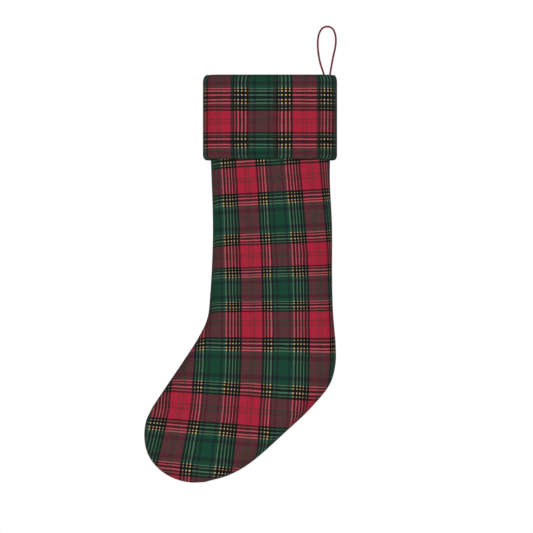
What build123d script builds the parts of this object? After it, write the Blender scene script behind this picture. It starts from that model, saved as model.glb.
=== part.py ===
"""Hanging holiday stocking: padded leg and foot, padded cuff, and a cord loop that swings at the rim.

Frame: the origin is where the loop bears on its hook. +Z is up, +X points to the heel side, and the
front of the stocking faces -Y. All lengths are in millimetres, all angles in degrees.
"""
from math import atan2, cos, degrees, radians, sin, tan
import os

from build123d import *

# ---------------------------------------------------------------- leg and foot, seen from the front
STOCKING_LENGTH = 508.0      # top of the cuff to the underside of the toe
HOOK_TO_CUFF = 60.0          # free height of the loop, hook to the top of the cuff
HOOK_TO_HEEL_SEAM = 9.7      # hook's plumb line to the heel-side seam, at the rim
RIM_WIDTH = 158.2            # shell from seam to seam at the rim
LEG_WIDTH = 149.5            # shell from seam to seam where the leg leaves the cuff
TOE_SEAM_LEAN = 0.8          # toe-side seam off plumb, towards the heel going down
INSTEP_DROP = 303.5          # top of the cuff to the bend of the instep
INSTEP_ANGLE = 33.7          # instep off plumb
HEEL_DROP = 382.0            # top of the cuff to the corner of the heel
HEEL_SWELL = 9.1             # corner of the heel outside the seam at the foot of the cuff
FOOT_REACH = 238.8           # tip of the toe to the corner of the heel
TOE_FLAT = 84.4              # underside of the toe, corner to ball
BALL_ANGLE = 12.2            # ball of the foot, flatter than the straight line from ball to heel
SOLE_ANGLE = 3.8             # sole, steeper than that line

INSTEP_RADIUS = 95.0
TOE_TOP_RADIUS = 62.0
TOE_TIP_RADIUS = 56.0
BALL_RADIUS = 87.0
SOLE_RADIUS = 125.0
HEEL_RADIUS = 56.0
BACK_RADIUS = 200.0          # gentle turn of the heel-side seam at the foot of the cuff

# ---------------------------------------------------------------- leg and foot, front to back
HALF_DEPTH = 17.0            # seam plane to the flat of the front
SIDE_RADIUS = 16.0           # soft edge that runs round to the seam, from the flat of the front
SHELL_THICKNESS = 0.8
WADDING_THICKNESS = 3.0
LINING_THICKNESS = 0.8

# ---------------------------------------------------------------- cuff
CUFF_HEIGHT = 105.0
CUFF_ROLL = 5.8              # cuff stands above the rim by this much and closes over it
CUFF_PROUD_TOE_SIDE = 6.5    # cuff outside the shell, at the rim
CUFF_PROUD_HEEL_SIDE = 2.8
CUFF_PROUD_FRONT = 8.0       # cuff outside the flat of the leg, front and back
CUFF_CORNER_RADIUS = 20.0    # upright corners of the cuff
CUFF_TOP_RADIUS = 5.0
CUFF_HEM_RADIUS = 5.5        # lower fold
CUFF_COVER_THICKNESS = 0.8
CUFF_EASE = 0.3              # clearance round the leg

# ---------------------------------------------------------------- hanging loop
CORD_DIAMETER = 2.4
CORD_SIDES = 10              # flats of the cord's section
PIVOT_HEIGHT = 1.8           # line on which the loop folds, above the top of the cuff
PIVOT_GAP = 0.3              # between the folded loop and its tails
LOOP_END_REACH = 0.5         # the loop's ends reach this far past the folding line
TACK_HEIGHT = 4.0            # block of stitches that holds the tails
TACK_DEPTH = 5.0
TACK_MARGIN = 1.0            # stitches beyond the toe-side tail
TACK_TAIL_LENGTH = 1.0       # tails below the stitches
TACK_CLEARANCE = 0.1         # stitches round the tails
SEAT_CLEARANCE = 0.3         # stitches off the lining

CORD_RADIUS = CORD_DIAMETER / 2
CUFF_TOP = -HOOK_TO_CUFF
CUFF_BOTTOM = CUFF_TOP - CUFF_HEIGHT
RIM = CUFF_TOP - CUFF_ROLL
PIVOT = CUFF_TOP + PIVOT_HEIGHT
SEAM_TO_WADDING = SHELL_THICKNESS
SEAM_TO_LINING = SEAM_TO_WADDING + WADDING_THICKNESS
SEAM_TO_CAVITY = SEAM_TO_LINING + LINING_THICKNESS
SPARE_HEIGHT = 30.0          # the outline runs on above the cuff, and is cut off at the rim

SOFT_EDGE_STEPS = 2          # sloping flats that make up each soft edge

# The cord's route as (x, z), chosen by hand: up the toe-side leg, over the hook, down the heel-side leg.
TOE_SIDE_TAIL = [(-4.7, PIVOT), (-0.9, -71.0)]
LOOP_ROUTE = [
    (-4.7, PIVOT),
    (-9.8, -43.5),
    (-12.4, -24.0),
    (-11.3, -9.0),
    (-5.2, CORD_RADIUS),
    (5.2, CORD_RADIUS),
    (10.6, -8.5),
    (11.0, -22.0),
    (6.9, -38.5),
    (3.5, PIVOT),
]
HEEL_SIDE_TAIL = [(3.5, PIVOT), (1.9, -71.0)]


# ---------------------------------------------------------------- leg and foot
def crossing(point_a, angle_a, point_b, angle_b):
    """Where the line through point_a at angle_a meets the line through point_b at angle_b."""
    cos_a, sin_a = cos(radians(angle_a)), sin(radians(angle_a))
    cos_b, sin_b = cos(radians(angle_b)), sin(radians(angle_b))
    gap_x, gap_z = point_b[0] - point_a[0], point_b[1] - point_a[1]
    along_a = (gap_x * sin_b - gap_z * cos_b) / (cos_a * sin_b - sin_a * cos_b)
    return (point_a[0] + along_a * cos_a, point_a[1] + along_a * sin_a)


def stocking_corners():
    """Corners of the stocking's outline and their radii, from the toe-side top, down and round the foot."""
    plumb = -90.0
    toe_seam = plumb + TOE_SEAM_LEAN
    instep = plumb - INSTEP_ANGLE
    rim_toe_side = (HOOK_TO_HEEL_SEAM - RIM_WIDTH, RIM)
    rim_heel_side = (HOOK_TO_HEEL_SEAM, RIM)
    level = 0.0
    instep_bend = crossing(rim_toe_side, toe_seam, (0, CUFF_TOP - INSTEP_DROP), level)
    hem_toe_side = crossing(rim_toe_side, toe_seam, (0, CUFF_BOTTOM), level)
    hem_heel_side = (hem_toe_side[0] + LEG_WIDTH, CUFF_BOTTOM)
    heel = (hem_heel_side[0] + HEEL_SWELL, CUFF_TOP - HEEL_DROP)
    toe_tip = (heel[0] - FOOT_REACH, CUFF_TOP - STOCKING_LENGTH)
    toe_top = crossing(instep_bend, instep, toe_tip, plumb)
    ball = (toe_tip[0] + TOE_FLAT, toe_tip[1])
    ball_to_heel = degrees(atan2(heel[1] - ball[1], heel[0] - ball[0]))
    sole = crossing(ball, ball_to_heel - BALL_ANGLE, heel, ball_to_heel + SOLE_ANGLE)
    cut = (0, CUFF_TOP + SPARE_HEIGHT)
    heel_flare = degrees(atan2(rim_heel_side[1] - hem_heel_side[1], rim_heel_side[0] - hem_heel_side[0]))
    return [
        (crossing(rim_toe_side, toe_seam, cut, level), 0),
        (instep_bend, INSTEP_RADIUS),
        (toe_top, TOE_TOP_RADIUS),
        (toe_tip, TOE_TIP_RADIUS),
        (ball, BALL_RADIUS),
        (sole, SOLE_RADIUS),
        (heel, HEEL_RADIUS),
        (hem_heel_side, BACK_RADIUS),
        (crossing(rim_heel_side, heel_flare, cut, level), 0),
    ]


def half_turn(before, corner, after):
    """Half of the angle by which a path turns at a corner."""
    arriving = Vector(corner) - Vector(before)
    leaving = Vector(after) - Vector(corner)
    return radians(arriving.get_angle(leaving)) / 2


def fitted_radii(corners):
    """Each corner's radius, no larger than the sides beside it have room for."""
    points = [point for point, _ in corners]
    count = len(points)
    turns = [half_turn(points[i - 1], points[i], points[(i + 1) % count]) for i in range(count)]
    reaches = [radius * tan(turn) for (_, radius), turn in zip(corners, turns)]
    room = []
    for i in range(count):
        side = (Vector(points[(i + 1) % count]) - Vector(points[i])).length
        wanted = reaches[i] + reaches[(i + 1) % count]
        room.append(min(1.0, 0.98 * side / wanted) if wanted else 1.0)
    return [corners[i][1] * min(room[i - 1], room[i]) for i in range(count)]


def outline(inset):
    """The stocking's outline, shrunk all round by inset, as one face in the plane Y = 0."""
    corners = stocking_corners()
    points = [(x, 0, z) for (x, z), _ in corners]
    face = make_face(FilletPolyline(*points, radius=fitted_radii(corners), close=True))
    return offset(face, amount=-inset, kind=Kind.INTERSECTION) if inset else face


def soft_edge(radius):
    """The flats of a soft edge: for each its inset and height at the start, its height and its slope."""
    angles = [radians(90 * step / SOFT_EDGE_STEPS) for step in range(SOFT_EDGE_STEPS + 1)]
    for start, end in zip(angles, angles[1:]):
        rise = radius * (sin(end) - sin(start))
        inward = radius * (cos(start) - cos(end))
        yield radius * (1 - cos(start)), radius * sin(start), rise, degrees(atan2(inward, rise))


def pillow(inset):
    """The closed form of leg and foot with soft edges, shrunk all round by inset."""
    to_front = (0, -1, 0)
    flat = HALF_DEPTH - SIDE_RADIUS
    half = extrude(outline(inset), amount=flat, dir=to_front)
    for narrowed, height, rise, slope in soft_edge(SIDE_RADIUS - inset):
        face = Pos(0, -flat - height, 0) * outline(inset + narrowed)
        half += extrude(face, amount=rise, dir=to_front, taper=slope)
    return half + mirror(half, about=Plane.XZ)


def below(solid, height):
    """What of a solid lies below a height."""
    return split(solid, bisect_by=Plane.XY.offset(height), keep=Keep.BOTTOM)


def above(solid, height):
    """What of a solid lies above a height."""
    return split(solid, bisect_by=Plane.XY.offset(height), keep=Keep.TOP)


def halves(solid):
    """The front and the back half of a solid, which meet on the seam plane Y = 0."""
    return (
        split(solid, bisect_by=Plane.XZ, keep=Keep.TOP),
        split(solid, bisect_by=Plane.XZ, keep=Keep.BOTTOM),
    )


# ---------------------------------------------------------------- cuff
def cuff_plan(inset):
    """The cuff seen from above, shrunk all round by inset."""
    toe_side = HOOK_TO_HEEL_SEAM - RIM_WIDTH - CUFF_PROUD_TOE_SIDE + inset
    heel_side = HOOK_TO_HEEL_SEAM + CUFF_PROUD_HEEL_SIDE - inset
    depth = HALF_DEPTH + CUFF_PROUD_FRONT - inset
    plan = RectangleRounded(heel_side - toe_side, 2 * depth, CUFF_CORNER_RADIUS - inset)
    return Pos((toe_side + heel_side) / 2, 0, 0) * plan


def cuff_form(inset):
    """The cuff's form, shrunk all round by inset: rolled top, folded hem, seat for the leg, and mouth."""
    roll_radius, hem_radius = CUFF_TOP_RADIUS - inset, CUFF_HEM_RADIUS - inset
    roll, hem = CUFF_TOP - CUFF_TOP_RADIUS, CUFF_BOTTOM + CUFF_HEM_RADIUS
    block = extrude(Pos(0, 0, hem) * cuff_plan(inset), amount=roll - hem)
    for narrowed, height, rise, slope in soft_edge(roll_radius):
        block += extrude(Pos(0, 0, roll + height) * cuff_plan(inset + narrowed), amount=rise, taper=slope)
    for narrowed, height, rise, slope in soft_edge(hem_radius):
        block += extrude(Pos(0, 0, hem - height) * cuff_plan(inset + narrowed), amount=-rise, taper=slope)
    ledge = RIM + inset
    leg = below(pillow(-CUFF_EASE - inset), ledge)
    mouth = above(pillow(SEAM_TO_CAVITY - inset), ledge)
    return block - leg - mouth


# ---------------------------------------------------------------- hanging loop
def route_radii(route):
    """Arc radii at the inner points of a cord's route: 0.45 of the shorter run over the half turn's tangent."""
    radii = []
    for before, corner, after in zip(route, route[1:], route[2:]):
        arriving = (Vector(corner) - Vector(before)).length
        leaving = (Vector(after) - Vector(corner)).length
        radii.append(0.45 * min(arriving, leaving) / tan(half_turn(before, corner, after)))
    return radii


def cord_section(radius=CORD_RADIUS):
    """The cord's round section, drawn with flats that touch the circle."""
    return RegularPolygon(radius, CORD_SIDES, major_radius=False)


def tube(route, radius=CORD_RADIUS):
    """A cord along a route in the plane Y = 0: straight runs joined by tangent arcs."""
    points = [(x, 0, z) for x, z in route]
    path = FilletPolyline(*points, radius=route_radii(route)) if len(route) > 2 else Line(*points)
    section = Plane(origin=path @ 0, z_dir=path % 0) * cord_section(radius)
    return sweep(section, path=path)


def stretched(start, towards, distance):
    """The point at a distance from start, in the direction of another point."""
    start, towards = Vector(start), Vector(towards)
    point = start + (towards - start).normalized() * distance
    return (point.X, point.Y)


def hanging_loop():
    """The loop from rim to rim. Its ends reach a little past the line on which it folds."""
    first, second = LOOP_ROUTE[:2]
    before_last, last = LOOP_ROUTE[-2:]
    toe_end = stretched(first, second, -LOOP_END_REACH)
    heel_end = stretched(last, before_last, -LOOP_END_REACH)
    return tube([toe_end, *LOOP_ROUTE[1:-1], heel_end])


def loop_tail(route, radius=CORD_RADIUS):
    """One end of the cord, from just under the folding line down into the mouth."""
    return tube([stretched(*route, CORD_RADIUS + PIVOT_GAP), route[-1]], radius)


def print_cord_figures():
    """Prints the cord's radii, and its volume against its section times its length."""
    points = [(x, 0, z) for x, z in LOOP_ROUTE]
    length = FilletPolyline(*points, radius=route_radii(LOOP_ROUTE)).length
    tails = sum((Vector(end) - Vector(start)).length for start, end in (TOE_SIDE_TAIL, HEEL_SIDE_TAIL))
    print("cord radii: " + ", ".join(f"{radius:.1f}" for radius in route_radii(LOOP_ROUTE)))
    print(f"cord length: loop {length:.1f}, tails {tails:.1f}")
    volume = tube(LOOP_ROUTE).volume
    print(f"loop volume: {volume:.1f}, section x length {cord_section().area * length:.1f}")


def bar_tack():
    """The block of stitches round both tails, seated against the lining at the heel-side seam."""
    toe_side = TOE_SIDE_TAIL[-1][0] - CORD_RADIUS - TACK_MARGIN
    bottom = TOE_SIDE_TAIL[-1][1] + TACK_TAIL_LENGTH
    block = Box(
        HOOK_TO_HEEL_SEAM - toe_side,
        TACK_DEPTH,
        TACK_HEIGHT,
        align=(Align.MIN, Align.CENTER, Align.MIN),
    )
    block = Pos(toe_side, 0, bottom) * block
    block &= pillow(SEAM_TO_CAVITY + SEAT_CLEARANCE)
    hole_radius = CORD_RADIUS + TACK_CLEARANCE
    return block - loop_tail(TOE_SIDE_TAIL, hole_radius) - loop_tail(HEEL_SIDE_TAIL, hole_radius)


# ---------------------------------------------------------------- the whole stocking
def build():
    """Every piece by its name."""
    forms = [pillow(inset) for inset in (0, SEAM_TO_WADDING, SEAM_TO_LINING, SEAM_TO_CAVITY)]
    pieces = {}
    for name, outside, inside in zip(("shell", "wadding", "lining"), forms, forms[1:]):
        pieces[f"{name}_front"], pieces[f"{name}_back"] = halves(below(outside - inside, RIM))
    cuff_wadding = cuff_form(CUFF_COVER_THICKNESS)
    pieces["cuff_front"], pieces["cuff_back"] = halves(cuff_form(0) - cuff_wadding)
    pieces["cuff_wadding_front"], pieces["cuff_wadding_back"] = halves(cuff_wadding)
    pieces["hanging_loop"] = hanging_loop()
    pieces["loop_tails"] = Compound(children=[loop_tail(TOE_SIDE_TAIL), loop_tail(HEEL_SIDE_TAIL)])
    pieces["loop_bar_tack"] = bar_tack()
    return pieces


print_cord_figures()
os.makedirs("parts", exist_ok=True)
for name, piece in build().items():
    export_step(piece, f"parts/{name}.step")
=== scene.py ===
import logging
import math
from dataclasses import dataclass, field
from enum import Enum
from typing import Callable, Iterable, Sequence

import bmesh
import bpy
import numpy as np
from mathutils import Matrix, Vector, noise


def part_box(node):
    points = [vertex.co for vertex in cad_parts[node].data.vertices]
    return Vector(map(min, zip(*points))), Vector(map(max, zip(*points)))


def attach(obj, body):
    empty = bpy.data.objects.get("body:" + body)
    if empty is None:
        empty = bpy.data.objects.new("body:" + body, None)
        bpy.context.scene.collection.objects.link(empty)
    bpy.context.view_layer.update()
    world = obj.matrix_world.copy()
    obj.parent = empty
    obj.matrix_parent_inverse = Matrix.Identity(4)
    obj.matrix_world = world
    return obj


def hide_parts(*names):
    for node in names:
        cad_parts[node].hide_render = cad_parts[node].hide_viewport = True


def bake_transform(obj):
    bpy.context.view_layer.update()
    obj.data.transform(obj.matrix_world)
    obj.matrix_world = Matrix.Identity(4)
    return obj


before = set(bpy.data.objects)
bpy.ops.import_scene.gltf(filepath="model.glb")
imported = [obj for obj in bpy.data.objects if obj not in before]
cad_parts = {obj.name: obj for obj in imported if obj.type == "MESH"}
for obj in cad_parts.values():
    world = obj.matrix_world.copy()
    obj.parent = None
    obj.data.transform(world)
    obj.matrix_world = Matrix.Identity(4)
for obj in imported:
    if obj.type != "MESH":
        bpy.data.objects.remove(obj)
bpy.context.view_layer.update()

LOG = logging.getLogger("stocking")
MM = 0.001
CUFF_LOW, CUFF_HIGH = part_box("cuff_front")
SHELL_LOW, SHELL_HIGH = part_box("shell_front")
LOOP_LOW, LOOP_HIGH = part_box("hanging_loop")
RIM = SHELL_HIGH[2]


# ---------------------------------------------------------------- helpers for materials
YARN_MIX = 0.45  # exponent of the scale on which warp and weft colours are averaged


class Yarn(Enum):
    """Yarns of the tartan: colour as it looks, how much of a light line it draws, how much it shades."""

    CRIMSON = ((0.59, 0.145, 0.215), 0.0, 0.0)
    CRIMSON_FINE = ((0.34, 0.20, 0.18), 0.0, 0.0)
    CRIMSON_DEEP = ((0.56, 0.135, 0.20), 0.0, 0.0)
    GREEN = ((0.112, 0.245, 0.185), 0.0, 0.0)
    NAVY_GREEN = ((0.115, 0.160, 0.160), 0.0, 0.1)
    SHADE = ((0.17, 0.16, 0.14), 0.0, 0.5)
    BLACK = ((0.085, 0.095, 0.100), 0.0, 1.0)
    GOLD = ((0.45, 0.36, 0.26), 1.0, 0.0)
    GOLD_FINE = ((0.30, 0.24, 0.18), 0.5, 0.25)

    @property
    def colour(self) -> tuple[float, float, float]:
        """Its colour on the scale on which crossed yarns are averaged."""
        return tuple(channel**YARN_MIX for channel in self.value[0])

    @property
    def marks(self) -> tuple[float, float, float]:
        """Strength of its light line and of its shading, as two colour channels."""
        return (self.value[1], self.value[2], 0.0)


class Way(Enum):
    """Direction of the yarns: warp runs down the cloth, weft across it."""

    WARP = "X"
    WEFT = "Y"


class NodeBoard:
    """A material's node tree, built up node by node."""

    def __init__(self, name: str) -> None:
        """Starts an empty material.

        Args:
            name: the material's name.
        """
        self.material = bpy.data.materials.new(name)
        self.material.use_nodes = True
        self.tree = self.material.node_tree
        self.tree.nodes.clear()

    def add(self, kind: str, inputs: dict | None = None, **settings: object) -> bpy.types.Node:
        """Adds a node.

        Args:
            kind: the node's type without its ShaderNode prefix.
            inputs: values or sockets by input name or number.
            settings: properties of the node.

        Returns:
            The new node.
        """
        node = self.tree.nodes.new("ShaderNode" + kind)
        for key, value in settings.items():
            setattr(node, key, value)
        for key, value in (inputs or {}).items():
            if isinstance(value, bpy.types.NodeSocket):
                self.tree.links.new(value, node.inputs[key])
            else:
                node.inputs[key].default_value = value
        return node

    def math(self, operation: str, *values: object, clamp: bool = False) -> bpy.types.NodeSocket:
        """Adds a Math node.

        Args:
            operation: the node's operation.
            values: its inputs in order, numbers or sockets.
            clamp: whether the result stays within 0 and 1.

        Returns:
            The result's socket.
        """
        node = self.add("Math", dict(enumerate(values)), operation=operation, use_clamp=clamp)
        return node.outputs[0]

    def blend(self, mode: str, factor: object, first: object, second: object) -> bpy.types.NodeSocket:
        """Adds a colour Mix node.

        Args:
            mode: the blend mode.
            factor: share of the second colour.
            first: colour or socket.
            second: colour or socket.

        Returns:
            The mixed colour's socket.
        """
        node = self.add("Mix", {0: factor, 6: first, 7: second}, data_type="RGBA", blend_type=mode)
        return node.outputs[2]

    def noise(self, vector: object, scale: float, detail: float = 2.0, roughness: float = 0.5) -> bpy.types.NodeSocket:
        """Adds a Noise Texture.

        Args:
            vector: the coordinates' socket.
            scale: waves per metre.
            detail: number of octaves.
            roughness: strength of the finer octaves.

        Returns:
            The noise value's socket, around 0.5.
        """
        inputs = {"Vector": vector, "Scale": scale, "Detail": detail, "Roughness": roughness}
        return self.add("TexNoise", inputs).outputs[0]

    def finish(self, shader: bpy.types.Node) -> bpy.types.Material:
        """Connects the shader to the output.

        Args:
            shader: the node whose first output is the surface.

        Returns:
            The material.
        """
        self.add("OutputMaterial", {"Surface": shader.outputs[0]})
        return self.material


def rgba(colour: Sequence[float]) -> tuple[float, float, float, float]:
    """A colour with full alpha."""
    return (*colour, 1.0)


# ---------------------------------------------------------------- finishes
@dataclass(frozen=True)
class Sett:
    """A tartan's stripes in one direction: yarn and width in millimetres, over one repeat."""

    stripes: tuple[tuple[Yarn, float], ...]
    repeat: float
    start: float

    def ramps(self, board: NodeBoard, coordinate: object) -> tuple[bpy.types.NodeSocket, bpy.types.NodeSocket]:
        """Two colour ramps along a coordinate: the yarns' colours and their marks.

        Args:
            board: the material.
            coordinate: the cloth's coordinate in metres.

        Returns:
            The sockets of colours and marks.
        """
        turns = board.math("MULTIPLY_ADD", coordinate, 1 / self.repeat, -self.start / self.repeat)
        place = board.math("FRACT", turns)
        total = sum(width for _, width in self.stripes)
        sockets = []
        for reads_colour in (True, False):
            node = board.add("ValToRGB", {0: place})
            ramp = node.color_ramp
            ramp.interpolation = "CONSTANT"
            reached = 0.0
            for index, (yarn, width) in enumerate(self.stripes):
                if index < 2:
                    stop = ramp.elements[index]
                    stop.position = reached / total
                else:
                    stop = ramp.elements.new(reached / total)
                stop.color = rgba(yarn.colour if reads_colour else yarn.marks)
                reached += width
            sockets.append(node.outputs[0])
        return sockets[0], sockets[1]


@dataclass(frozen=True)
class Flannel:
    """Brushed tartan flannel in a twill weave. The pattern follows the UV map, which is in metres."""

    warp: Sett
    weft: Sett
    crimp: float = 0.00115
    glow: tuple[float, float, float] = (0.15, 0.16, 0.13)
    crossing: tuple[float, float, float] = (0.74, 0.60, 0.42)

    def material(self, name: str) -> bpy.types.Material:
        """Makes the material.

        Args:
            name: its name.

        Returns:
            The material.
        """
        board = NodeBoard(name)
        uv = board.add("UVMap", uv_map="cloth").outputs[0]
        waver = board.math("MULTIPLY_ADD", board.noise(uv, 45.0, 2.0), 0.0012, -0.0006)
        axes = board.add("SeparateXYZ", {0: uv})
        across = board.math("ADD", axes.outputs[0], waver)
        along = board.math("SUBTRACT", axes.outputs[1], waver)
        warp_colour, warp_marks = self.warp.ramps(board, across)
        weft_colour, weft_marks = self.weft.ramps(board, along)
        warp_mark = board.add("SeparateColor", {0: warp_marks})
        weft_mark = board.add("SeparateColor", {0: weft_marks})
        diagonal = board.math("ADD", axes.outputs[0], axes.outputs[1])
        twill = board.math("SINE", board.math("MULTIPLY", diagonal, 2 * math.pi / self.crimp))
        balance = board.math("MULTIPLY_ADD", twill, 0.13, 0.5)
        lean = board.math("SUBTRACT", weft_mark.outputs[0], warp_mark.outputs[0])
        share = board.math("MULTIPLY_ADD", lean, 0.5, balance, clamp=True)
        woven = board.blend("MIX", share, weft_colour, warp_colour)
        ground = board.add("Gamma", {0: woven, 1: 1 / YARN_MIX}).outputs[0]
        warp_line = board.math("MULTIPLY", warp_mark.outputs[0], board.math("MULTIPLY_ADD", weft_mark.outputs[1], -0.75, 1.0))
        weft_line = board.math("MULTIPLY", weft_mark.outputs[0], board.math("MULTIPLY_ADD", warp_mark.outputs[1], -0.75, 1.0))
        line = board.math("ADD", warp_line, weft_line, clamp=True)
        lined = board.blend("SCREEN", line, ground, rgba(self.glow))
        both = board.math("MULTIPLY", warp_mark.outputs[0], weft_mark.outputs[0])
        crossed = board.blend("MIX", both, lined, rgba(self.crossing))
        mottle = board.math("MULTIPLY_ADD", board.noise(uv, 160.0, 4.0, 0.7), 0.22, 0.89)
        mottled = board.blend("MULTIPLY", 1.0, crossed, board.add("CombineColor", {0: mottle, 1: mottle, 2: mottle}).outputs[0])
        colour = board.add("Gamma", {0: mottled, 1: 2.2}).outputs[0]
        nap = board.noise(uv, 2600.0, 3.0, 0.6)
        height = board.math("MULTIPLY_ADD", nap, 0.5, board.math("MULTIPLY", twill, 0.35))
        bump = board.add("Bump", {"Strength": 0.35, "Distance": 0.0003, "Height": height})
        shader = board.add(
            "BsdfPrincipled",
            {
                "Base Color": colour,
                "Roughness": 0.92,
                "Specular IOR Level": 0.05,
                "Sheen Weight": 0.03,
                "Sheen Roughness": 0.5,
                "Normal": bump.outputs[0],
            },
        )
        return board.finish(shader)


@dataclass(frozen=True)
class PlainCloth:
    """A plain-weave cloth of one dye, on the UV map in metres."""

    colour: tuple[float, float, float]
    pitch: float = 0.0006
    sheen: float = 0.1

    def material(self, name: str) -> bpy.types.Material:
        """Makes the material.

        Args:
            name: its name.

        Returns:
            The material.
        """
        board = NodeBoard(name)
        uv = board.add("UVMap", uv_map="cloth").outputs[0]
        axes = board.add("SeparateXYZ", {0: uv})
        rows = [board.math("SINE", board.math("MULTIPLY", socket, math.pi / self.pitch)) for socket in axes.outputs[:2]]
        weave = board.math("MULTIPLY", rows[0], rows[1])
        slub = board.noise(uv, 220.0, 4.0, 0.65)
        # Painted shade: the weave term darkens the cloth where the weave's relief is low, between the yarn crossings;
        # the slub term is random tone.
        tone = board.math("MULTIPLY_ADD", slub, 0.5, board.math("MULTIPLY_ADD", weave, 0.10, 0.75))
        grey = board.add("CombineColor", {0: tone, 1: tone, 2: tone}).outputs[0]
        colour = board.blend("MULTIPLY", 1.0, rgba(self.colour), grey)
        height = board.math("MULTIPLY_ADD", slub, 0.5, weave)
        bump = board.add("Bump", {"Strength": 0.4, "Distance": 0.0002, "Height": height})
        shader = board.add(
            "BsdfPrincipled",
            {
                "Base Color": colour,
                "Roughness": 0.85,
                "Specular IOR Level": 0.25,
                "Sheen Weight": self.sheen,
                "Normal": bump.outputs[0],
            },
        )
        return board.finish(shader)


@dataclass(frozen=True)
class LoftyWadding:
    """White polyester wadding with tangled fibres."""

    colour: tuple[float, float, float] = (0.80, 0.79, 0.76)

    def material(self, name: str) -> bpy.types.Material:
        """Makes the material.

        Args:
            name: its name.

        Returns:
            The material.
        """
        board = NodeBoard(name)
        place = board.add("TexCoord").outputs["Object"]
        fibres = board.noise(place, 900.0, 6.0, 0.75)
        clumps = board.noise(place, 90.0, 3.0)
        tone = board.math("MULTIPLY_ADD", clumps, 0.25, board.math("MULTIPLY_ADD", fibres, 0.3, 0.72))
        grey = board.add("CombineColor", {0: tone, 1: tone, 2: tone}).outputs[0]
        colour = board.blend("MULTIPLY", 1.0, rgba(self.colour), grey)
        bump = board.add("Bump", {"Strength": 0.8, "Distance": 0.0008, "Height": fibres})
        shader = board.add(
            "BsdfPrincipled",
            {"Base Color": colour, "Roughness": 1.0, "Sheen Weight": 0.4, "Normal": bump.outputs[0]},
        )
        return board.finish(shader)


@dataclass(frozen=True)
class BraidedSatin:
    """Satin cord braided from fine strands. The UV map runs round the cord and along it, in metres."""

    colour: tuple[float, float, float] = (0.165, 0.004, 0.017)
    # The second colour is painted shade: the colour the cord takes in the grooves between its strands.
    shade: tuple[float, float, float] = (0.085, 0.002, 0.009)
    lay: float = 0.0030
    girth: float = 0.0075

    def material(self, name: str) -> bpy.types.Material:
        """Makes the material.

        Args:
            name: its name.

        Returns:
            The material.
        """
        board = NodeBoard(name)
        uv = board.add("UVMap", uv_map="cloth").outputs[0]
        axes = board.add("SeparateXYZ", {0: uv})
        round_it = board.math("MULTIPLY", axes.outputs[0], 2 * math.pi / self.girth * 2)
        along = board.math("MULTIPLY", axes.outputs[1], 2 * math.pi / self.lay)
        one = board.math("SINE", board.math("ADD", round_it, along))
        other = board.math("SINE", board.math("SUBTRACT", round_it, along))
        braid = board.math("MAXIMUM", one, other)
        strands = board.noise(uv, 2500.0, 2.0)
        height = board.math("MULTIPLY_ADD", strands, 0.3, braid)
        # Painted shade: the colour darkens towards the groove colour where the braid's relief is low, between the
        # strands.
        face = board.add("MapRange", {0: height, 1: -0.6, 2: 0.9})
        colour = board.blend("MIX", face.outputs[0], rgba(self.shade), rgba(self.colour))
        bump = board.add("Bump", {"Strength": 0.6, "Distance": 0.0003, "Height": height})
        shader = board.add(
            "BsdfPrincipled",
            {
                "Base Color": colour,
                "Roughness": 0.5,
                "Specular IOR Level": 0.22,
                "Normal": bump.outputs[0],
            },
        )
        return board.finish(shader)


@dataclass(frozen=True)
class SewingThread:
    """Twisted polyester thread, on object coordinates."""

    colour: tuple[float, float, float] = (0.16, 0.012, 0.025)

    def material(self, name: str) -> bpy.types.Material:
        """Makes the material.

        Args:
            name: its name.

        Returns:
            The material.
        """
        board = NodeBoard(name)
        place = board.add("TexCoord").outputs["Object"]
        twist = board.add("TexWave", {"Vector": place, "Scale": 700.0, "Distortion": 1.0}, bands_direction="DIAGONAL")
        # Painted shade: the thread darkens in the low parts of its twist, the same waves that make its bump.
        tone = board.math("MULTIPLY_ADD", twist.outputs[1], 0.5, 0.6)
        grey = board.add("CombineColor", {0: tone, 1: tone, 2: tone}).outputs[0]
        colour = board.blend("MULTIPLY", 1.0, rgba(self.colour), grey)
        bump = board.add("Bump", {"Strength": 0.5, "Distance": 0.0001, "Height": twist.outputs[1]})
        shader = board.add(
            "BsdfPrincipled",
            {"Base Color": colour, "Roughness": 0.5, "Specular IOR Level": 0.4, "Normal": bump.outputs[0]},
        )
        return board.finish(shader)


def lines(*widths: float) -> tuple[tuple[Yarn, float], ...]:
    """Gold lines on black ground. A width below zero is a faint gold line of that width.

    Args:
        widths: widths of black and gold in turn, in millimetres, starting with black.

    Returns:
        The stripes.
    """
    stripes = []
    for index, width in enumerate(widths):
        gold = Yarn.GOLD_FINE if width < 0 else Yarn.GOLD
        stripes.append((gold if index % 2 else Yarn.BLACK, abs(width)))
    return tuple(stripes)


def red_block(width: float) -> tuple[tuple[Yarn, float], ...]:
    """A crimson block with its two hairlines.

    Args:
        width: in millimetres.

    Returns:
        The stripes.
    """
    hairline, between = 1.3, 3.6
    side = (width - 2 * hairline - between) / 2
    return (
        (Yarn.CRIMSON, side),
        (Yarn.CRIMSON_FINE, hairline),
        (Yarn.CRIMSON_DEEP, between),
        (Yarn.CRIMSON_FINE, hairline),
        (Yarn.CRIMSON, side),
    )


def green_block(width: float) -> tuple[tuple[Yarn, float], ...]:
    """A green block with its two navy bands.

    Args:
        width: in millimetres.

    Returns:
        The stripes.
    """
    band, border = width * 0.13, width * 0.13
    middle = width - 2 * (band + border)
    return (
        (Yarn.GREEN, border),
        (Yarn.NAVY_GREEN, band),
        (Yarn.GREEN, middle),
        (Yarn.NAVY_GREEN, band),
        (Yarn.GREEN, border),
    )


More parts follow.
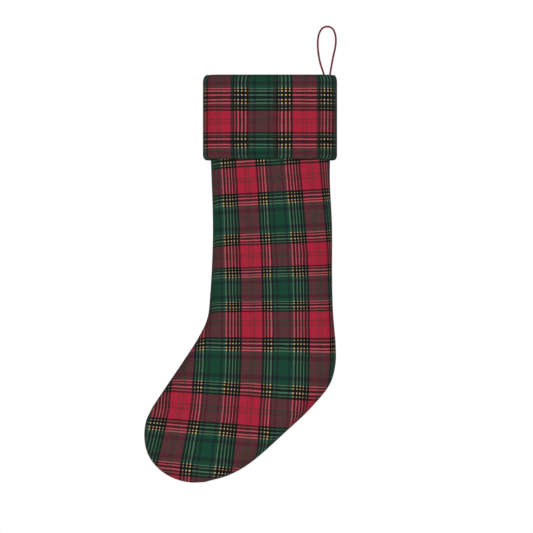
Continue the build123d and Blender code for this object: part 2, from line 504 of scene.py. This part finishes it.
TO_RED = ((Yarn.GOLD, 1.3),) + lines(1.5, 1.3, 2.7, 1.5, 2.3, -1.2, 2.1)
LEG_WARP = Sett(
    red_block(24.0) + lines(2.6, -1.1, 2.6, 1.2, 2.2, 1.8, 2.2) + green_block(23.4)
    + ((Yarn.GOLD, 1.6),) + lines(2.6, 1.2, 2.6, 1.2, 2.6, 1.1, 2.6, -1.1, 2.6),
    repeat=0.0833,
    start=-0.0240,
)
LEG_WEFT = Sett(red_block(28.5) + TO_RED[::-1] + green_block(32.0) + TO_RED, repeat=0.0933, start=-0.0160)
CUFF_WARP = Sett(
    red_block(29.0) + ((Yarn.SHADE, 3.0),) + lines(2.0, -1.3, 2.6, 1.6, 2.8, 1.6, 2.8, 1.7, 2.0)
    + ((Yarn.SHADE, 2.6),) + green_block(28.0) + ((Yarn.SHADE, 4.0),)
    + lines(2.6, -1.3, 2.0, 2.0, 3.1, 1.7, 3.2, 1.4, 3.2),
    repeat=0.1067,
    start=-0.0508,
)
CUFF_WEFT = Sett(
    red_block(25.2) + lines(2.2, -1.3, 2.0) + ((Yarn.SHADE, 2.8), (Yarn.GOLD, 1.6))
    + lines(2.4, 1.6, 4.0, 1.6, 3.5, 1.3, 1.8, 1.2) + green_block(31.2)
    + ((Yarn.GOLD, 1.3),) + lines(1.9, 1.6, 4.8, 1.7, 2.0) + ((Yarn.SHADE, 2.4), (Yarn.GOLD_FINE, 1.3), (Yarn.BLACK, 2.2)),
    repeat=0.1067,
    start=-0.1343,
)


# ---------------------------------------------------------------- helpers for meshes
def rounded_line(points: Sequence[tuple[float, float]], count: int) -> np.ndarray:
    """A smooth line through points, with samples evenly spaced along it.

    Args:
        points: the points that it passes through.
        count: number of samples.

    Returns:
        The samples, one row each.
    """
    given = np.array(points, dtype=float)
    padded = np.vstack([2 * given[0] - given[1], given, 2 * given[-1] - given[-2]])
    steps = np.linspace(0, 1, 24, endpoint=False)[:, None]
    pieces = []
    for before, start, end, after in zip(padded, padded[1:], padded[2:], padded[3:]):
        knots = [0.0]
        for one, two in ((before, start), (start, end), (end, after)):
            knots.append(knots[-1] + max(np.linalg.norm(two - one), 1e-9) ** 0.5)
        span = knots[2] - knots[1]
        leave = span * ((start - before) / (knots[1] - knots[0]) - (end - before) / (knots[2] - knots[0]) + (end - start) / span)
        arrive = span * ((end - start) / span - (after - start) / (knots[3] - knots[1]) + (after - end) / (knots[3] - knots[2]))
        s2, s3 = steps**2, steps**3
        pieces.append((2 * s3 - 3 * s2 + 1) * start + (s3 - 2 * s2 + steps) * leave + (3 * s2 - 2 * s3) * end + (s3 - s2) * arrive)
    line = np.vstack([*pieces, given[-1:]])
    reach = np.concatenate([[0], np.cumsum(np.linalg.norm(np.diff(line, axis=0), axis=1))])
    wanted = np.linspace(0, reach[-1], count)
    return np.column_stack([np.interp(wanted, reach, line[:, axis]) for axis in range(2)])


def distance_to_line(points: np.ndarray, line: np.ndarray) -> np.ndarray:
    """Distance of each point to a polyline.

    Args:
        points: rows of x, z.
        line: rows of x, z.

    Returns:
        One distance for each point.
    """
    nearest = np.full(len(points), np.inf)
    for start, end in zip(line, line[1:]):
        way = end - start
        share = np.clip(((points - start) @ way) / max(way @ way, 1e-18), 0, 1)
        nearest = np.minimum(nearest, np.linalg.norm(points - (start + share[:, None] * way), axis=1))
    return nearest


def drift(place: Vector, wave: float, seed: float) -> float:
    """Smooth noise of about -1 to 1.

    Args:
        place: where.
        wave: its wavelength in metres.
        seed: shifts it, so that two uses differ.

    Returns:
        The noise there.
    """
    return noise.noise(Vector((place.x / wave + seed, place.y / wave - seed, place.z / wave)))


class Piece:
    """A mesh piece under construction."""

    def __init__(self, name: str) -> None:
        """Starts an empty mesh.

        Args:
            name: the piece's name.
        """
        self.name = name
        self.bm = bmesh.new()

    def grid(self, columns: int, rows: int, place: Callable[[int, int], tuple[Vector, tuple[float, float]]]) -> None:
        """Adds a grid of quads with its UV map.

        Args:
            columns: number of quads across.
            rows: number of quads along.
            place: gives position and UV of the vertex at a column and a row.
        """
        new = bmesh.ops.create_grid(self.bm, x_segments=columns, y_segments=rows, size=0.5)
        verts = new["verts"]
        layer = self.bm.loops.layers.uv.get("cloth") or self.bm.loops.layers.uv.new("cloth")
        flat = {}
        for vert in verts:
            column, row = round((vert.co.x + 0.5) * columns), round((vert.co.y + 0.5) * rows)
            vert.co, flat[vert] = place(column, row)
        for face in {face for vert in verts for face in vert.link_faces}:
            for loop in face.loops:
                loop[layer].uv = flat[loop.vert]

    def object(self, material: bpy.types.Material, smooth: bool = True) -> bpy.types.Object:
        """Turns the mesh into an object of the scene.

        Args:
            material: its finish.
            smooth: whether it is shaded smooth.

        Returns:
            The object.
        """
        mesh = bpy.data.meshes.new(self.name)
        self.bm.to_mesh(mesh)
        self.bm.free()
        mesh.materials.append(material)
        if smooth:
            mesh.shade_smooth()
        piece = bpy.data.objects.new(self.name, mesh)
        bpy.context.scene.collection.objects.link(piece)
        LOG.info("%s: %d faces", self.name, len(mesh.polygons))
        return piece


def thicken(piece: bpy.types.Object, thickness: float) -> None:
    """Gives a cloth its thickness, inwards from its outer face.

    Args:
        piece: the cloth.
        thickness: in metres.
    """
    solid = piece.modifiers.new("thickness", "SOLIDIFY")
    solid.thickness = thickness
    solid.offset = -1.0


# ---------------------------------------------------------------- leg and foot
class Side(Enum):
    """Front or back half; the value is the sign of Y."""

    FRONT = -1
    BACK = 1

    @property
    def word(self) -> str:
        """Its word in a piece's name."""
        return self.name.lower()


@dataclass
class StockingBody:
    """Leg and foot: two panels sewn together at the silhouette, with wadding and a lining bag inside."""

    toe_seam: tuple[tuple[float, float], ...] = (
        (-148.5, -65.8),
        (-146.2, -120),
        (-143.9, -180),
        (-142.0, -235),
        (-142.2, -275),
        (-145.0, -330),
        (-148.6, -362),
        (-158.9, -385),
        (-178.0, -415),
        (-199.0, -446),
        (-217.0, -473),
    )
    toe_cap: tuple[tuple[float, float], ...] = (
        (-217.0, -473),
        (-225.2, -491),
        (-227.2, -512),
        (-223.2, -531),
        (-212.0, -547.5),
        (-194.0, -560.5),
        (-172.0, -567.0),
        (-152.5, -566.8),
    )
    heel_seam: tuple[tuple[float, float], ...] = (
        (9.7, -65.8),
        (6.0, -120),
        (3.8, -185),
        (6.6, -250),
        (6.6, -310),
        (7.8, -355),
        (11.2, -398),
        (10.8, -420),
        (4.2, -444),
        (-20.3, -474.8),
        (-51.5, -504.4),
        (-95.0, -542.6),
        (-121.0, -557.6),
        (-152.5, -566.8),
    )
    eased_heights: tuple[tuple[float, float], ...] = (
        (-0.5700, -0.3625),
        (-0.4762, -0.2799),
        (-0.3673, -0.1866),
        (-0.2639, -0.0700),
        (-0.1656, 0.0233),
        (-0.0600, 0.1200),
    )
    eased_widths: tuple[tuple[float, float], ...] = (
        (-0.545, 0.885),
        (-0.520, 0.915),
        (-0.476, 0.970),
        (-0.420, 0.985),
        (-0.280, 1.000),
        (-0.180, 1.050),
    )
    half_depth: float = 0.017
    edge_reach: float = 0.0185
    columns: int = 84
    rows: int = 190
    grain_lean: tuple[tuple[float, float], ...] = ((-0.56, -0.10), (-0.47, -0.075), (-0.38, 0.0), (-0.30, 0.03), (-0.22, 0.055), (-0.15, 0.065))
    outline: np.ndarray = field(init=False)

    def __post_init__(self) -> None:
        """Works out the seams."""
        self.left = rounded_line(self.toe_seam, self.rows + 1) * MM
        self.right = rounded_line(self.heel_seam, self.rows + 1) * MM
        self.bottom = rounded_line(self.toe_cap, self.columns + 1) * MM
        self.outline = np.vstack([self.left, self.bottom[1:-1], self.right[::-1]])

    def lean_of_grain(self, height: float) -> float:
        """How far the weft rises towards the heel side, at a height."""
        heights, leans = zip(*self.grain_lean)
        return float(np.interp(height, heights, leans))

    def cloth_place(self, x: float, z: float) -> tuple[float, float]:
        """Where on the flat cloth a point lies. The cloth is eased unevenly down the leg and turns in the foot.

        Args:
            x: across.
            z: height.

        Returns:
            Its place along weft and warp, in metres.
        """
        start = -0.28
        heights = np.linspace(start, z, 12)
        leans = [self.lean_of_grain(height) for height in heights]
        steps = zip(leans, leans[1:], heights, heights[1:])
        shift = -sum((one + two) / 2 * (above - below) for one, two, below, above in steps)
        middle = -0.098
        level = z - self.lean_of_grain(z) * (x - middle)
        heights, lengths = zip(*self.eased_heights)
        levels, widths = zip(*self.eased_widths)
        across = middle + (x - shift - middle) * float(np.interp(z, levels, widths))
        return (float(across), float(np.interp(level, heights, lengths)))

    def patch(self, inset: float) -> tuple[np.ndarray, np.ndarray]:
        """A grid over the silhouette, and its depth at each point.

        Args:
            inset: how far inside the outer cloth the layer lies, in metres.

        Returns:
            Positions as [row][column] of x, z, and depths from the seam plane.
        """
        across = (1 - np.cos(np.pi * np.linspace(0, 1, self.columns + 1))) / 2
        along = np.sin(np.pi / 2 * np.linspace(0, 1, self.rows + 1)) * 0.5 + np.linspace(0, 1, self.rows + 1) * 0.5
        steps = np.linspace(0, 1, self.rows + 1)
        left = np.column_stack([np.interp(along, steps, self.left[:, axis]) for axis in range(2)])
        right = np.column_stack([np.interp(along, steps, self.right[:, axis]) for axis in range(2)])
        even = np.linspace(0, 1, self.columns + 1)
        bottom = np.column_stack([np.interp(across, even, self.bottom[:, axis]) for axis in range(2)])
        s, t = across[None, :, None], along[:, None, None]
        top = left[0] + across[:, None] * (right[0] - left[0])
        sides = (1 - s) * left[:, None] + s * right[:, None]
        ends = (1 - t) * top[None] + t * bottom[None]
        corners = (1 - t) * ((1 - s) * left[0] + s * right[0]) + t * ((1 - s) * left[-1] + s * right[-1])
        flat = sides + ends - corners
        points = flat.reshape(-1, 2)
        gap = distance_to_line(points, self.outline).reshape(flat.shape[:2])
        rise = np.clip(gap / self.edge_reach, 0, 1)
        fullness = np.sqrt(1 - (1 - rise) ** 2)
        depth = self.half_depth * fullness
        if inset:
            shrink = 1 - inset / self.half_depth
            depth = np.maximum(depth - inset * np.sqrt(np.clip(fullness, 0, 1)), 0) if shrink > 0 else depth
            centre = np.array([-0.07, -0.30])
            middle = (flat[:, :1] + flat[:, -1:]) / 2
            towards = middle - flat
            length = np.linalg.norm(towards, axis=2, keepdims=True)
            flat = flat + np.where(length > 1e-6, towards / np.maximum(length, 1e-6), 0) * np.minimum(inset * (1 - rise[..., None]), length)
            low = np.clip((flat[..., 1] + 0.52) / -0.045, 0, 1)
            flat[..., 1] += inset * low * (1 - rise)
            del centre
        return flat, depth

    def panel(self, name: str, side: Side, inset: float, material: bpy.types.Material, soft: float) -> bpy.types.Object:
        """One half of a layer.

        Args:
            name: the piece's name.
            side: front or back.
            inset: how far inside the outer cloth it lies, in metres.
            material: its finish.
            soft: strength of its soft waves, from 0 to 1.

        Returns:
            The object, without thickness.
        """
        flat, depth = self.patch(inset)
        solid = np.dstack([flat, depth])
        half = self.columns // 2
        wrapped = np.zeros_like(flat)
        for outward in (range(half, self.columns), range(half, 0, -1)):
            step = 1 if outward.step > 0 else -1
            extra = np.zeros(self.rows + 1)
            for column in outward:
                way = flat[:, column + step] - flat[:, column]
                run = np.linalg.norm(way, axis=1)
                extra += np.linalg.norm(solid[:, column + step] - solid[:, column], axis=1) - run
                wrapped[:, column + step] = way / np.maximum(run, 1e-9)[:, None] * extra[:, None]
        seam_ease = 0.0006

        def place(column: int, row: int) -> tuple[Vector, tuple[float, float]]:
            x, z = flat[row][column]
            deep = depth[row][column]
            here = Vector((x, 0, z))
            seed = 3.1 if side is Side.FRONT else 8.7
            waves = drift(here, 0.075, seed) * 0.0010 + drift(here, 0.030, seed + 5) * 0.00045
            edge = max(0.0, 1 - deep / self.half_depth)
            pucker = drift(here, 0.011, seed + 9) * 0.0006 * edge * (1 - edge) * 4
            fade = min(1.0, deep / 0.006)
            y = deep + soft * (waves * fade + pucker * fade)
            if deep < seam_ease:
                y = deep
            round_x, round_z = wrapped[row][column]
            return Vector((x, side.value * y, z)), self.cloth_place(x + round_x, z + round_z)

        piece = Piece(name)
        piece.grid(self.columns, self.rows, place)
        if side is Side.FRONT:
            bmesh.ops.reverse_faces(piece.bm, faces=piece.bm.faces[:])
        bmesh.ops.recalc_face_normals(piece.bm, faces=piece.bm.faces[:])
        outward = sum((face.normal.y * face.calc_area() for face in piece.bm.faces))
        if outward * side.value < 0:
            bmesh.ops.reverse_faces(piece.bm, faces=piece.bm.faces[:])
        return piece.object(material)

    def build(self, flannel: bpy.types.Material, lining: bpy.types.Material, wadding: bpy.types.Material) -> None:
        """Builds shell, wadding and lining, front and back.

        Args:
            flannel: finish of the shell.
            lining: finish of the lining.
            wadding: finish of the wadding.
        """
        for side in Side:
            shell = self.panel(f"leg_panel_{side.word}", side, 0.0, flannel, 1.0)
            thicken(shell, 0.0008)
            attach(shell, "stocking")
            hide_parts(f"shell_{side.word}")
            pad = self.panel(f"leg_wadding_{side.word}", side, 0.0009, wadding, 0.9)
            thicken(pad, 0.0027)
            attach(pad, "stocking")
            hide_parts(f"wadding_{side.word}")
            bag = self.panel(f"lining_bag_{side.word}", side, 0.0040, lining, 1.0)
            thicken(bag, 0.0006)
            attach(bag, "stocking")
            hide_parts(f"lining_{side.word}")


# ---------------------------------------------------------------- cuff
@dataclass
class Cuff:
    """Padded cuff: the flannel goes from its hem inside, round the lower fold, up, over the rim and into the mouth."""

    toe_side: float = -0.1535
    heel_side: float = 0.0120
    depth: float = 0.0250
    mouth_toe_side: float = -0.1437
    mouth_heel_side: float = 0.0051
    mouth_depth: float = 0.0122
    leg_toe_side: float = -0.1462
    leg_heel_side: float = 0.0060
    leg_depth: float = 0.0176
    top: float = CUFF_HIGH[2] - 0.0004
    bottom: float = CUFF_LOW[2]
    facing: float = 0.030
    turned_hem: float = 0.022
    columns: int = 120

    def profile(self, inset: float) -> list[tuple[float, float, float]]:
        """Stations along the cloth, from the hidden hem round to the facing in the mouth.

        Args:
            inset: how far inside the cover, in metres; not used.

        Returns:
            For each its height, how far it stands from leg (0) to outside (1), and from outside (0) to mouth (1).
        """
        roll, fold = 0.0085, 0.0062
        stations = []
        for step in range(8):
            stations.append((self.bottom + self.turned_hem + (fold - self.turned_hem) * step / 7, 0.0, 0.0))
        for step in range(1, 13):
            turn = math.pi * step / 13
            stations.append((self.bottom + fold * (1 - math.sin(turn)), (1 - math.cos(turn)) / 2, 0.0))
        for step in range(34):
            share = step / 33
            stations.append((self.bottom + fold + (self.top - roll - self.bottom - fold) * share, 1.0, 0.0))
        for step in range(1, 14):
            turn = math.pi * step / 14
            stations.append((self.top - roll * (1 - math.sin(turn)), 1.0, (1 - math.cos(turn)) / 2))
        for step in range(10):
            stations.append((self.top - roll + (roll - self.facing) * step / 9, 1.0, 1.0))
        del inset
        return stations

    def ring_point(self, share: float, side: Side, out: float, mouth: float, height: float, inset: float) -> Vector:
        """A point of the cuff.

        Args:
            share: from the toe-side seam to the heel-side seam, 0 to 1.
            side: front or back.
            out: from the leg's surface (0) to the outside (1).
            mouth: from the outside (0) to the mouth's wall (1).
            height: z in metres.
            inset: how far inside the cover; not used.

        Returns:
            The point.
        """
        def mixed(leg: float, outside: float, inner: float) -> float:
            return (leg + (outside - leg) * out) * (1 - mouth) + inner * mouth

        toe = mixed(self.leg_toe_side, self.toe_side, self.mouth_toe_side)
        heel = mixed(self.leg_heel_side, self.heel_side, self.mouth_heel_side)
        deep = mixed(self.leg_depth, self.depth, self.mouth_depth)
        half, middle = (heel - toe) / 2, (heel + toe) / 2
        corner = min(deep, mixed(self.leg_depth, 0.019, self.mouth_depth))
        straight = 2 * (half - corner)
        arc = math.pi / 2 * corner
        rest = deep - corner
        total = straight + 2 * arc + 2 * rest
        reach = share * total
        if reach < rest:
            x, y = -half, reach
        elif reach < rest + arc:
            turn = (reach - rest) / corner
            x, y = -half + corner * (1 - math.cos(turn)), rest + corner * math.sin(turn)
        elif reach < rest + arc + straight:
            x, y = -half + corner + (reach - rest - arc), deep
        elif reach < rest + 2 * arc + straight:
            turn = (reach - rest - arc - straight) / corner
            x, y = half - corner + corner * math.sin(turn), rest + corner * math.cos(turn)
        else:
            x, y = half, total - reach
        del inset
        return Vector((middle + x, side.value * max(y, 0.0), height))

    def cover(self, side: Side, flannel: bpy.types.Material) -> bpy.types.Object:
        """One half of the cover.

        Args:
            side: front or back.
            flannel: its finish.

        Returns:
            The object.
        """
        stations = self.profile(0.0)
        seed = 21.0 if side is Side.FRONT else 34.0
        points = [
            [self.ring_point(column / self.columns, side, out, mouth, height, 0.0) for column in range(self.columns + 1)]
            for height, out, mouth in stations
        ]
        reach = [0.0]
        middle = self.columns // 2
        for one, two in zip(points, points[1:]):
            reach.append(reach[-1] + (two[middle] - one[middle]).length)
        start = next(index for index, station in enumerate(stations) if station[1] == 1.0)
        girth = [0.0]
        for one, two in zip(points[start], points[start][1:]):
            girth.append(girth[-1] + (two - one).length)

        def place(column: int, row: int) -> tuple[Vector, tuple[float, float]]:
            here = points[row][column].copy()
            height, out, mouth = stations[row]
            waves = drift(here, 0.055, seed) * 0.0011 + drift(here, 0.022, seed + 4) * 0.0005
            share = (height - self.bottom) / (self.top - self.bottom)
            belly = 0.0014 * math.sin(math.pi * min(max(share, 0), 1)) * out * (1 - mouth)
            swell = (waves * out * (1 - mouth) + belly) * min(1.0, abs(here.y) / 0.012)
            here.y += side.value * swell
            u = girth[column] + self.toe_side - self.depth
            v = self.bottom + reach[row] - reach[start] + 0.004
            return here, (u, v)

        piece = Piece(f"cuff_cover_{side.word}")
        piece.grid(self.columns, len(stations) - 1, place)
        outer = [face for face in piece.bm.faces if abs(face.calc_center_median().y) > 0.0235]
        outward = sum(face.normal.y * face.calc_area() for face in outer)
        if outward * side.value < 0:
            bmesh.ops.reverse_faces(piece.bm, faces=piece.bm.faces[:])
        return piece.object(flannel)

    def build(self, flannel: bpy.types.Material, wadding: bpy.types.Material) -> None:
        """Builds cover and wadding, front and back.

        Args:
            flannel: finish of the cover.
            wadding: finish of the wadding.
        """
        for side in Side:
            cover = self.cover(side, flannel)
            thicken(cover, 0.0008)
            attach(cover, "stocking")
            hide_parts(f"cuff_{side.word}")
            pad = self.pad(side, wadding)
            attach(pad, "stocking")
            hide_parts(f"cuff_wadding_{side.word}")

    def pad(self, side: Side, wadding: bpy.types.Material) -> bpy.types.Object:
        """The wadding that fills one half of the cuff.

        Args:
            side: front or back.
            wadding: its finish.

        Returns:
            The object.
        """
        inset = 0.0016
        low, high = self.bottom + inset, self.top - inset
        stations = [(0.0, 0.16, low), (1.0, 0.16, low)]
        sections = []
        for step in range(25):
            turn = 2 * math.pi * step / 24
            sections.append((0.5 - 0.36 * math.cos(turn), math.sin(turn)))
        del stations
        middle, half = (low + high) / 2, (high - low) / 2

        def place(column: int, row: int) -> tuple[Vector, tuple[float, float]]:
            out, rise = sections[row % 24]
            height = middle + half * math.copysign(abs(rise) ** 0.35, rise)
            over = min(max((height - RIM) / (self.top - RIM), 0.0), 1.0)
            here = self.ring_point(column / self.columns, side, out, 0.12 * over, height, 0.0)
            here.y += side.value * drift(here, 0.03, 5.0) * 0.0003 * min(1.0, abs(here.y) / 0.01)
            return here, (column / self.columns, row / 24)

        piece = Piece(f"cuff_pad_{side.word}")
        piece.grid(self.columns, 24, place)
        bmesh.ops.remove_doubles(piece.bm, verts=piece.bm.verts[:], dist=1e-6)
        ends = [edge for edge in piece.bm.edges if edge.is_boundary]
        bmesh.ops.holes_fill(piece.bm, edges=ends)
        bmesh.ops.recalc_face_normals(piece.bm, faces=piece.bm.faces[:])
        return piece.object(wadding)


# ---------------------------------------------------------------- hanging loop
@dataclass
class HangingLoop:
    """Satin cord loop with both tails in the mouth, and the bar tack that holds them."""

    diameter: float = 0.0024
    tack_turns: int = 9
    route: tuple[tuple[float, float], ...] = (
        (-0.9, -71.0),
        (-3.7, -58.2),
        (-9.0, -43.5),
        (-11.7, -24.0),
        (-10.6, -9.0),
        (-4.6, 0.5),
        (5.8, 0.5),
        (11.0, -8.5),
        (11.5, -22.0),
        (7.5, -38.5),
        (4.1, -58.2),
        (1.9, -71.0),
    )

    def centreline(self) -> list[Vector]:
        """Points read from the route's spline.

        Returns:
            The points from the toe-side tail to the heel-side tail.
        """
        curve = bpy.data.curves.new("loop_route", "CURVE")
        curve.dimensions = "3D"
        curve.resolution_u = 14
        spline = curve.splines.new("NURBS")
        spline.points.add(len(self.route) - 1)
        for point, (x, z) in zip(spline.points, self.route):
            point.co = (x * MM, 0.0, z * MM, 1.0)
        spline.order_u = 3
        spline.use_endpoint_u = True
        holder = bpy.data.objects.new("loop_route", curve)
        bpy.context.scene.collection.objects.link(holder)
        mesh = bpy.data.meshes.new_from_object(holder)
        points = [vert.co.copy() for vert in mesh.vertices]
        bpy.data.objects.remove(holder)
        bpy.data.meshes.remove(mesh)
        bpy.data.curves.remove(curve)
        return points

    def cord(self, satin: bpy.types.Material) -> bpy.types.Object:
        """The cord from tail to tail.

        Args:
            satin: its finish.

        Returns:
            The object.
        """
        path = self.centreline()
        reach = [0.0]
        for one, two in zip(path, path[1:]):
            reach.append(reach[-1] + (two - one).length)
        sides, radius = 16, self.diameter / 2
        ways = []
        for index in range(len(path)):
            ways.append((path[min(index + 1, len(path) - 1)] - path[max(index - 1, 0)]).normalized())

        def place(column: int, row: int) -> tuple[Vector, tuple[float, float]]:
            turn = 2 * math.pi * (column % sides) / sides
            side = Vector((0, 1, 0)).cross(ways[row])
            swell = radius * (1 + 0.03 * math.sin(reach[row] * 2 * math.pi / 0.0031 + 2 * turn))
            here = path[row] + side * math.cos(turn) * swell + Vector((0, 1, 0)) * math.sin(turn) * swell
            return here, (turn * radius if column < sides else 2 * math.pi * radius, reach[row])

        piece = Piece("loop_cord")
        piece.grid(sides, len(path) - 1, place)
        bmesh.ops.remove_doubles(piece.bm, verts=piece.bm.verts[:], dist=1e-7)
        ends = [edge for edge in piece.bm.edges if edge.is_boundary]
        bmesh.ops.holes_fill(piece.bm, edges=ends)
        bmesh.ops.recalc_face_normals(piece.bm, faces=piece.bm.faces[:])
        cord = piece.object(satin)
        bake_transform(cord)
        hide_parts("hanging_loop", "loop_tails")
        return cord

    def bar_tack(self, thread: bpy.types.Material) -> bpy.types.Object:
        """Turns of thread laid close together over both tails.

        Args:
            thread: its finish.

        Returns:
            The object.
        """
        low, high = (Vector(corner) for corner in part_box("loop_bar_tack"))
        piece = Piece("loop_bar_tack_thread")
        gauge = (high.z - low.z) / self.tack_turns
        for turn in range(self.tack_turns):
            ring = bmesh.ops.create_circle(piece.bm, segments=8, radius=gauge * 0.56)["verts"]
            edges = {edge for vert in ring for edge in vert.link_edges}
            half_x, half_y = (high.x - low.x) / 2 - gauge, (high.y - low.y) / 2 - gauge
            height = low.z + gauge * (turn + 0.5)
            bmesh.ops.rotate(piece.bm, verts=ring, cent=(0, 0, 0), matrix=Matrix.Rotation(math.pi / 2, 3, "X"))
            bmesh.ops.translate(piece.bm, verts=ring, vec=(half_y, 0, 0))
            spun = bmesh.ops.spin(
                piece.bm, geom=list(ring) + list(edges), cent=(0, 0, 0), axis=(0, 0, 1), angle=2 * math.pi,
                steps=24, use_merge=True,
            )
            verts = {vert for vert in piece.bm.verts if not vert.tag}
            for vert in verts:
                vert.tag = True
                vert.co.x *= 1.0
                vert.co.x += math.copysign(half_x - half_y, vert.co.x)
                vert.co.x += (low.x + high.x) / 2
                vert.co.z += height + 0.00012 * math.sin(9.0 * turn + vert.co.x * 900)
            del spun
        bmesh.ops.recalc_face_normals(piece.bm, faces=piece.bm.faces[:])
        tack = piece.object(thread)
        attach(tack, "stocking")
        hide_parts("loop_bar_tack")
        return tack

    def build(self, satin: bpy.types.Material, thread: bpy.types.Material) -> None:
        """Builds cord and bar tack.

        Args:
            satin: finish of the cord.
            thread: finish of the stitches.
        """
        self.cord(satin)
        self.bar_tack(thread)


# ---------------------------------------------------------------- studio
@dataclass
class Studio:
    """White studio: a floor below the hanging stocking, soft lamps before and behind it, and the camera."""

    lens: float = 190.0
    sensor: float = 36.0
    centre: tuple[float, float] = (-0.0751, -0.2982)
    width: float = 0.6636
    floor_height: float = -0.95

    def white_for_camera(self, board: NodeBoard) -> bpy.types.NodeSocket:
        """1 for rays that see the background, 0 for light that falls on the object."""
        path = board.add("LightPath")
        seen = board.math("MAXIMUM", path.outputs["Is Camera Ray"], path.outputs["Is Glossy Ray"])
        return board.math("MAXIMUM", seen, path.outputs["Is Transmission Ray"])

    def floor(self) -> None:
        """A round pale floor, which keeps the object's shadow."""
        board = NodeBoard("pale_floor")
        place = board.add("TexCoord").outputs["Object"]
        grain = board.math("MULTIPLY_ADD", board.noise(place, 60.0, 3.0), 0.02, 0.93)
        colour = board.add("CombineColor", {0: grain, 1: grain, 2: grain}).outputs[0]
        material = board.finish(board.add("BsdfPrincipled", {"Base Color": colour, "Roughness": 0.8, "Specular IOR Level": 0.1}))
        piece = Piece("floor")
        bmesh.ops.create_circle(piece.bm, cap_ends=True, segments=96, radius=1.4)
        bmesh.ops.translate(piece.bm, verts=piece.bm.verts[:], vec=(self.centre[0], 0, self.floor_height))
        piece.object(material, smooth=False)

    def lamp(self, name: str, place: Sequence[float], size: float, power: float) -> None:
        """A square soft lamp aimed at the stocking.

        Args:
            name: its name.
            place: where it stands.
            size: its side in metres.
            power: in watts.
        """
        data = bpy.data.lights.new(name, "AREA")
        data.size = size
        data.energy = power
        lamp = bpy.data.objects.new(name, data)
        lamp.location = place
        aim = Vector((self.centre[0], 0, self.centre[1])) - Vector(place)
        lamp.rotation_euler = aim.to_track_quat("-Z", "Y").to_euler()
        bpy.context.scene.collection.objects.link(lamp)

    def build(self) -> None:
        """Sets floor, lamps, world and camera."""
        scene = bpy.context.scene
        scene.view_settings.view_transform = "Standard"
        self.floor()
        self.lamp("lamp_front", (self.centre[0] - 0.20, -3.9, self.centre[1] + 0.75), 1.2, 160.0)
        self.lamp("lamp_back", (self.centre[0] + 0.20, 3.9, self.centre[1] + 0.75), 1.2, 160.0)
        world = bpy.data.worlds.new("studio")
        scene.world = world
        world.use_nodes = True
        tree = world.node_tree
        tree.nodes.clear()
        path = tree.nodes.new("ShaderNodeLightPath")
        seen = tree.nodes.new("ShaderNodeMath")
        seen.operation = "MAXIMUM"
        also = tree.nodes.new("ShaderNodeMath")
        also.operation = "MAXIMUM"
        tree.links.new(path.outputs["Is Camera Ray"], seen.inputs[0])
        tree.links.new(path.outputs["Is Glossy Ray"], seen.inputs[1])
        tree.links.new(seen.outputs[0], also.inputs[0])
        tree.links.new(path.outputs["Is Transmission Ray"], also.inputs[1])
        level = tree.nodes.new("ShaderNodeMath")
        level.operation = "MULTIPLY_ADD"
        level.inputs[1].default_value = 0.93
        level.inputs[2].default_value = 0.07
        tree.links.new(also.outputs[0], level.inputs[0])
        sky = tree.nodes.new("ShaderNodeBackground")
        sky.inputs[0].default_value = (1, 1, 1, 1)
        tree.links.new(level.outputs[0], sky.inputs[1])
        out = tree.nodes.new("ShaderNodeOutputWorld")
        tree.links.new(sky.outputs[0], out.inputs[0])
        data = bpy.data.cameras.new("camera")
        data.lens = self.lens
        data.sensor_width = self.sensor
        camera = bpy.data.objects.new("camera", data)
        distance = self.width * self.lens / self.sensor
        camera.location = (self.centre[0], -distance, self.centre[1])
        camera.rotation_euler = (math.pi / 2, 0, 0)
        scene.collection.objects.link(camera)
        scene.camera = camera


def main() -> None:
    """Builds the scene piece by piece."""
    logging.basicConfig(level=logging.INFO, format="%(name)s %(message)s")
    leg_flannel = Flannel(LEG_WARP, LEG_WEFT).material("plaid_flannel_leg")
    cuff_flannel = Flannel(CUFF_WARP, CUFF_WEFT).material("plaid_flannel_cuff")
    lining = PlainCloth((0.20, 0.02, 0.03)).material("lining_cotton")
    wadding = LoftyWadding().material("wadding")
    satin = BraidedSatin().material("satin_cord")
    thread = SewingThread().material("thread")
    Studio().build()
    HangingLoop().build(satin, thread)
    StockingBody().build(leg_flannel, lining, wadding)
    Cuff().build(cuff_flannel, wadding)


if __name__ == "__main__":
    main()
